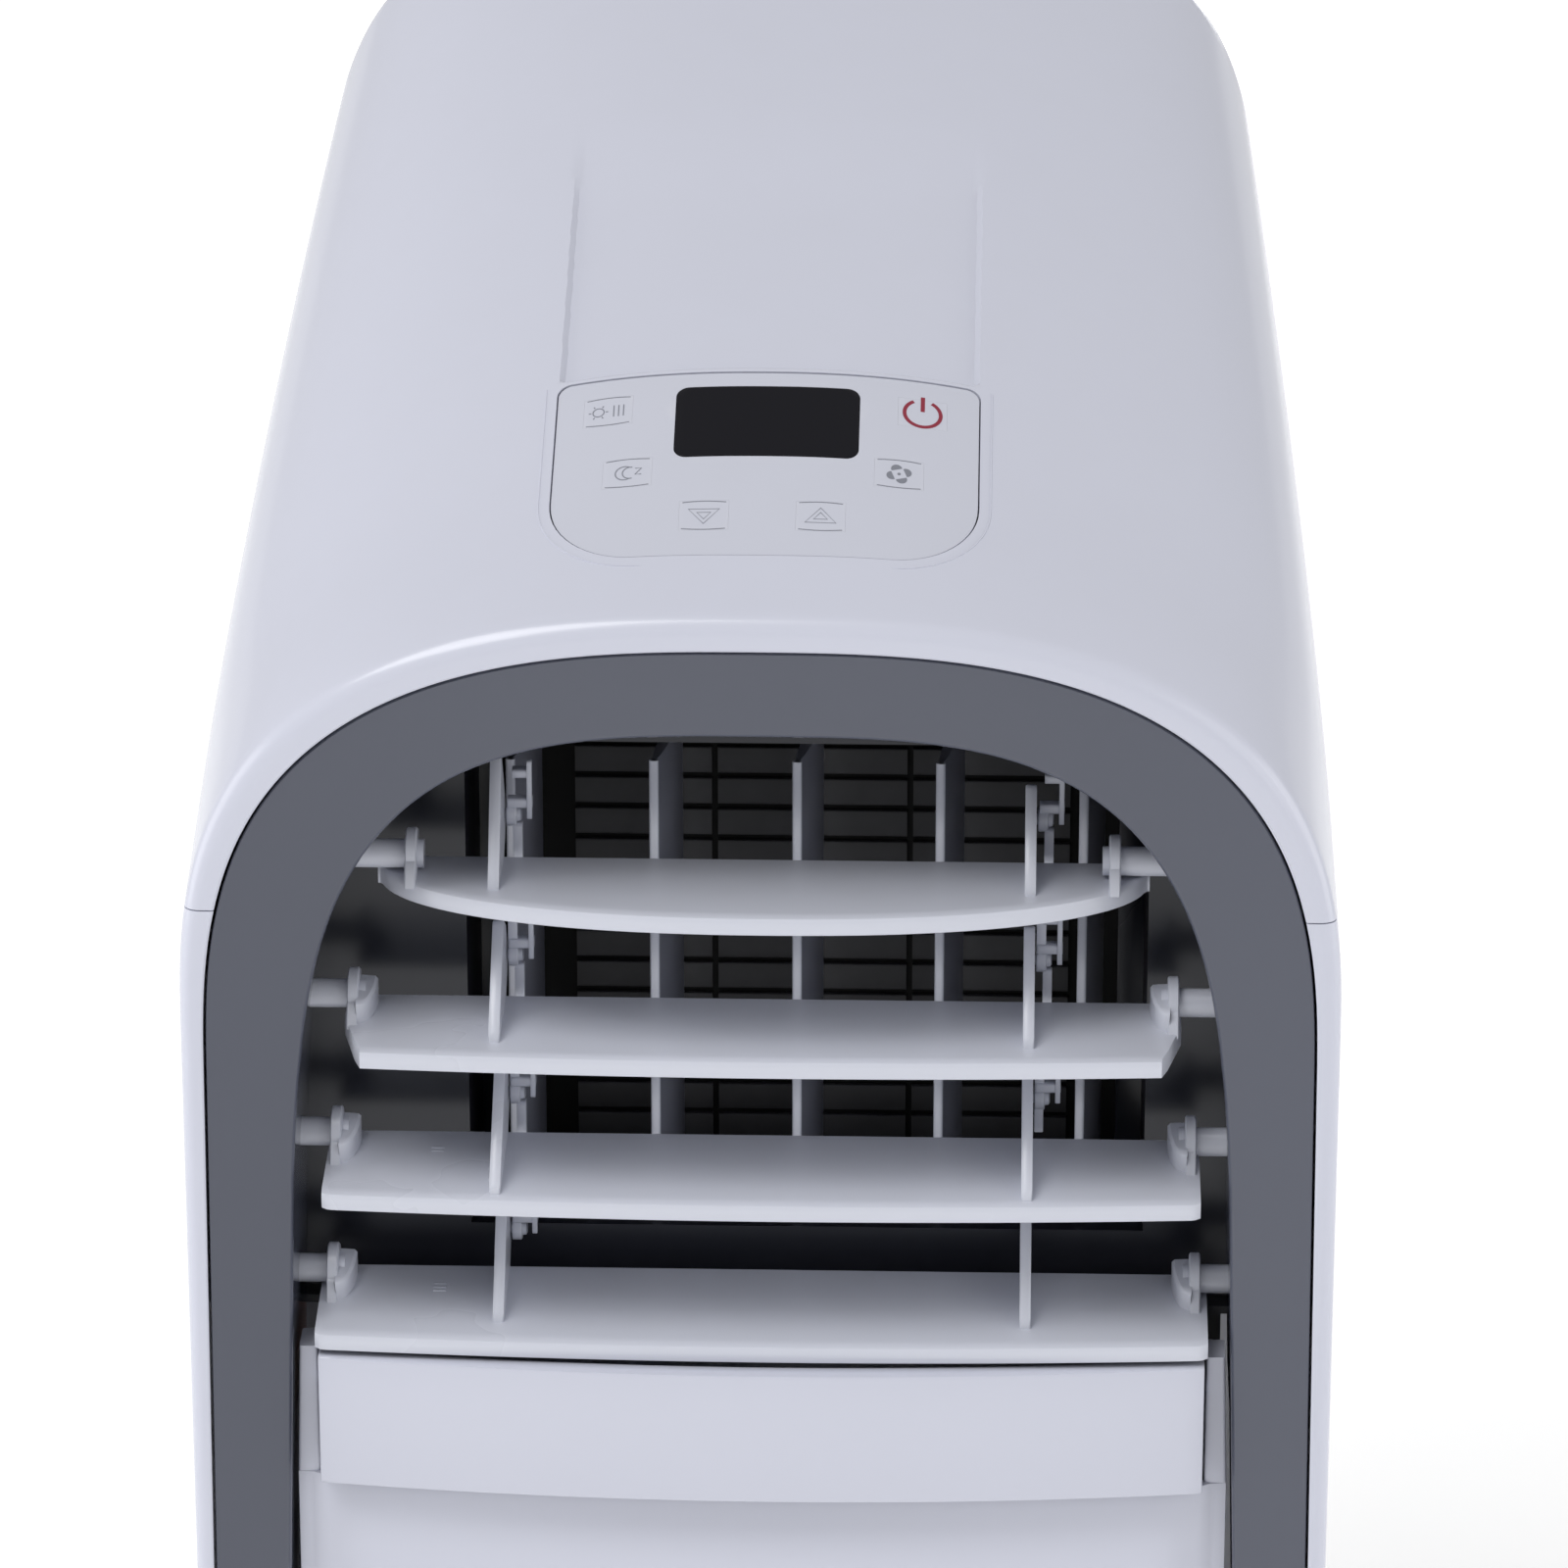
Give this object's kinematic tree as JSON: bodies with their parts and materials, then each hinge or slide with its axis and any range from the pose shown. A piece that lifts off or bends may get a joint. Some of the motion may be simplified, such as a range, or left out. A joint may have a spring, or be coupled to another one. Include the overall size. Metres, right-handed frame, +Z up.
{
  "type": "portable air conditioner",
  "caption": "Free-standing arched room air conditioner on casters: sloping top with touch keys, tiltable louvres over turning vanes, rear air filters and exhaust collar.",
  "frame": {"origin": "centre of the bounding box in plan, on the floor under the casters", "axes": "+X to the right of someone facing the outlet, +Y from the outlet to the rear, +Z up"},
  "size_m": [0.3298, 0.345, 0.7369],
  "materials": {
    "cabinet_white": "satin moulded, cool white",
    "louvre_white": "satin moulded, cool white",
    "panel_grey": "smooth film, pale grey",
    "handle_grey": "fine texture, pale grey",
    "surround_grey": "gloss, dark blue-grey",
    "duct_dark": "moulded, near black",
    "guard_black": "moulded, black",
    "display_smoke": "polished smoked window",
    "board_green": "coated circuit board",
    "motor_steel": "galvanised",
    "fin_aluminium": "bare fins",
    "compressor_enamel": "black enamel",
    "copper": null,
    "caster_nylon": "moulded nylon",
    "caster_tread": "smooth tread",
    "plug_rubber": "matte"
  },
  "bodies": {
    "cabinet": {"top_cover": "cabinet_white", "left_side_panel": "cabinet_white", "right_side_panel": "cabinet_white", "front_band": "cabinet_white", "front_panel": "cabinet_white", "rear_cover": "cabinet_white", "outlet_surround": "surround_grey", "outlet_duct": "duct_dark", "outlet_guard": "guard_black", "control_panel": "panel_grey", "display_window": "display_smoke", "control_board": "board_green", "left_handle": "handle_grey", "right_handle": "handle_grey", "base_pan": "duct_dark", "cord_inlet": "duct_dark", "exhaust_collar": "handle_grey", "exhaust_scroll": "duct_dark", "drip_tray": "duct_dark", "evaporator": "fin_aluminium", "condenser": "fin_aluminium", "compressor": "compressor_enamel", "accumulator": "compressor_enamel", "suction_pipe": "copper", "discharge_pipe": "copper", "blower_motor": "motor_steel", "condenser_fan_motor": "motor_steel", "louvre_motor": "motor_steel"},
    "louvre_1": {"louvre_1": "louvre_white"},
    "louvre_2": {"louvre_2": "louvre_white"},
    "louvre_3": {"louvre_3": "louvre_white"},
    "louvre_4": {"louvre_4": "louvre_white"},
    "louvre_link_left": {"louvre_link_left": "louvre_white"},
    "louvre_link_right": {"louvre_link_right": "louvre_white"},
    "vane_1": {"vane_1": "louvre_white"},
    "vane_2": {"vane_2": "louvre_white"},
    "vane_3": {"vane_3": "louvre_white"},
    "vane_4": {"vane_4": "louvre_white"},
    "vane_5": {"vane_5": "louvre_white"},
    "vane_link": {"vane_link": "louvre_white"},
    "button_mode": {"button_mode": "panel_grey"},
    "button_sleep": {"button_sleep": "panel_grey"},
    "button_down": {"button_down": "panel_grey"},
    "button_up": {"button_up": "panel_grey"},
    "button_fan": {"button_fan": "panel_grey"},
    "button_power": {"button_power": "panel_grey"},
    "blower_wheel": {"blower_wheel": "duct_dark"},
    "condenser_fan": {"condenser_fan": "duct_dark"},
    "upper_filter": {"upper_filter": "handle_grey"},
    "lower_filter": {"lower_filter": "handle_grey"},
    "drain_plug_upper": {"drain_plug_upper": "plug_rubber"},
    "drain_plug_lower": {"drain_plug_lower": "plug_rubber"},
    "caster_front_left": {"caster_fork_front_left": "caster_nylon"},
    "wheel_front_left": {"caster_wheel_front_left": "caster_tread"},
    "caster_front_right": {"caster_fork_front_right": "caster_nylon"},
    "wheel_front_right": {"caster_wheel_front_right": "caster_tread"},
    "caster_rear_left": {"caster_fork_rear_left": "caster_nylon"},
    "wheel_rear_left": {"caster_wheel_rear_left": "caster_tread"},
    "caster_rear_right": {"caster_fork_rear_right": "caster_nylon"},
    "wheel_rear_right": {"caster_wheel_rear_right": "caster_tread"}
  },
  "joints": [
    {"name": "louvre_1_tilt", "type": "hinge", "parent": "cabinet", "child": "louvre_1", "pos_m": [0, -0.1355, 0.5302], "axis": [1, 0, 0], "range_deg": [-86, 0]},
    {"name": "louvre_2_tilt", "type": "hinge", "parent": "cabinet", "child": "louvre_2", "pos_m": [0, -0.1355, 0.4864], "axis": [1, 0, 0], "range_deg": [-86, 0]},
    {"name": "louvre_3_tilt", "type": "hinge", "parent": "cabinet", "child": "louvre_3", "pos_m": [0, -0.1355, 0.4426], "axis": [1, 0, 0], "range_deg": [-86, 0]},
    {"name": "louvre_4_tilt", "type": "hinge", "parent": "cabinet", "child": "louvre_4", "pos_m": [0, -0.1355, 0.3988], "axis": [1, 0, 0], "range_deg": [-86, 0]},
    {"name": "louvre_link_left_pivot", "type": "hinge", "parent": "louvre_1", "child": "louvre_link_left", "pos_m": [-0.0744, -0.119, 0.5362], "axis": [1, 0, 0], "range_deg": [0, 86]},
    {"name": "louvre_link_right_pivot", "type": "hinge", "parent": "louvre_1", "child": "louvre_link_right", "pos_m": [0.0786, -0.119, 0.5362], "axis": [1, 0, 0], "range_deg": [0, 86]},
    {"name": "vane_1_turn", "type": "hinge", "parent": "cabinet", "child": "vane_1", "pos_m": [-0.071, -0.0865, 0.403], "axis": [0, 0, 1], "range_deg": [-31, 49]},
    {"name": "vane_2_turn", "type": "hinge", "parent": "cabinet", "child": "vane_2", "pos_m": [-0.0295, -0.0865, 0.403], "axis": [0, 0, 1], "range_deg": [-31, 49]},
    {"name": "vane_3_turn", "type": "hinge", "parent": "cabinet", "child": "vane_3", "pos_m": [0.012, -0.0865, 0.403], "axis": [0, 0, 1], "range_deg": [-31, 49]},
    {"name": "vane_4_turn", "type": "hinge", "parent": "cabinet", "child": "vane_4", "pos_m": [0.0535, -0.0865, 0.403], "axis": [0, 0, 1], "range_deg": [-31, 49]},
    {"name": "vane_5_turn", "type": "hinge", "parent": "cabinet", "child": "vane_5", "pos_m": [0.095, -0.0865, 0.403], "axis": [0, 0, 1], "range_deg": [-31, 49]},
    {"name": "vane_link_pivot", "type": "hinge", "parent": "vane_3", "child": "vane_link", "pos_m": [0.01419, -0.07267, 0.5495], "axis": [0, 0, 1], "range_deg": [-49, 31]},
    {"name": "button_mode_press", "type": "slide", "parent": "cabinet", "child": "button_mode", "axis": [0.1293, 0.3742, -0.9183], "range_m": [0, 0.0008], "stiffness_N_per_m": 400},
    {"name": "button_sleep_press", "type": "slide", "parent": "cabinet", "child": "button_sleep", "axis": [0.0996, 0.3734, -0.9223], "range_m": [0, 0.0008], "stiffness_N_per_m": 400},
    {"name": "button_down_press", "type": "slide", "parent": "cabinet", "child": "button_down", "axis": [0.0249, 0.3897, -0.9206], "range_m": [0, 0.0008], "stiffness_N_per_m": 400},
    {"name": "button_up_press", "type": "slide", "parent": "cabinet", "child": "button_up", "axis": [-0.0237, 0.3899, -0.9205], "range_m": [0, 0.0008], "stiffness_N_per_m": 400},
    {"name": "button_fan_press", "type": "slide", "parent": "cabinet", "child": "button_fan", "axis": [-0.0958, 0.3742, -0.9224], "range_m": [0, 0.0008], "stiffness_N_per_m": 400},
    {"name": "button_power_press", "type": "slide", "parent": "cabinet", "child": "button_power", "axis": [-0.1238, 0.3745, -0.9189], "range_m": [0, 0.0008], "stiffness_N_per_m": 400},
    {"name": "blower_wheel_spin", "type": "hinge", "parent": "cabinet", "child": "blower_wheel", "pos_m": [0.012, 0.03765, 0.47485], "axis": [1, 0, 0], "continuous": true},
    {"name": "condenser_fan_spin", "type": "hinge", "parent": "cabinet", "child": "condenser_fan", "pos_m": [0.042, 0.0933, 0.168], "axis": [0, 1, 0], "continuous": true},
    {"name": "upper_filter_slide", "type": "slide", "parent": "cabinet", "child": "upper_filter", "axis": [0, 1, 0], "range_m": [0, 0.06]},
    {"name": "lower_filter_slide", "type": "slide", "parent": "cabinet", "child": "lower_filter", "axis": [0, 1, 0], "range_m": [0, 0.06]},
    {"name": "drain_plug_upper_pull", "type": "slide", "parent": "cabinet", "child": "drain_plug_upper", "axis": [0, 1, 0], "range_m": [0, 0.015]},
    {"name": "drain_plug_lower_pull", "type": "slide", "parent": "cabinet", "child": "drain_plug_lower", "axis": [0, 1, 0], "range_m": [0, 0.015]},
    {"name": "caster_front_left_swivel", "type": "hinge", "parent": "cabinet", "child": "caster_front_left", "pos_m": [-0.1234, -0.1325, 0.045], "axis": [0, 0, 1], "continuous": true},
    {"name": "wheel_front_left_roll", "type": "hinge", "parent": "caster_front_left", "child": "wheel_front_left", "pos_m": [-0.1234, -0.1235, 0.018], "axis": [1, 0, 0], "continuous": true},
    {"name": "caster_front_right_swivel", "type": "hinge", "parent": "cabinet", "child": "caster_front_right", "pos_m": [0.1234, -0.1325, 0.045], "axis": [0, 0, 1], "continuous": true},
    {"name": "wheel_front_right_roll", "type": "hinge", "parent": "caster_front_right", "child": "wheel_front_right", "pos_m": [0.1234, -0.1235, 0.018], "axis": [1, 0, 0], "continuous": true},
    {"name": "caster_rear_left_swivel", "type": "hinge", "parent": "cabinet", "child": "caster_rear_left", "pos_m": [-0.10651, 0.1325, 0.045], "axis": [0, 0, 1], "continuous": true},
    {"name": "wheel_rear_left_roll", "type": "hinge", "parent": "caster_rear_left", "child": "wheel_rear_left", "pos_m": [-0.10651, 0.1415, 0.018], "axis": [1, 0, 0], "continuous": true},
    {"name": "caster_rear_right_swivel", "type": "hinge", "parent": "cabinet", "child": "caster_rear_right", "pos_m": [0.10651, 0.1325, 0.045], "axis": [0, 0, 1], "continuous": true},
    {"name": "wheel_rear_right_roll", "type": "hinge", "parent": "caster_rear_right", "child": "wheel_rear_right", "pos_m": [0.10651, 0.1415, 0.018], "axis": [1, 0, 0], "continuous": true}
  ],
  "couplings": [
    {"joint": "louvre_2_tilt", "follows": "louvre_1_tilt", "ratio": 1},
    {"joint": "louvre_3_tilt", "follows": "louvre_1_tilt", "ratio": 1},
    {"joint": "louvre_4_tilt", "follows": "louvre_1_tilt", "ratio": 1},
    {"joint": "louvre_link_left_pivot", "follows": "louvre_1_tilt", "ratio": -1},
    {"joint": "louvre_link_right_pivot", "follows": "louvre_1_tilt", "ratio": -1},
    {"joint": "vane_1_turn", "follows": "vane_3_turn", "ratio": 1},
    {"joint": "vane_2_turn", "follows": "vane_3_turn", "ratio": 1},
    {"joint": "vane_4_turn", "follows": "vane_3_turn", "ratio": 1},
    {"joint": "vane_5_turn", "follows": "vane_3_turn", "ratio": 1},
    {"joint": "vane_link_pivot", "follows": "vane_3_turn", "ratio": -1}
  ]
}
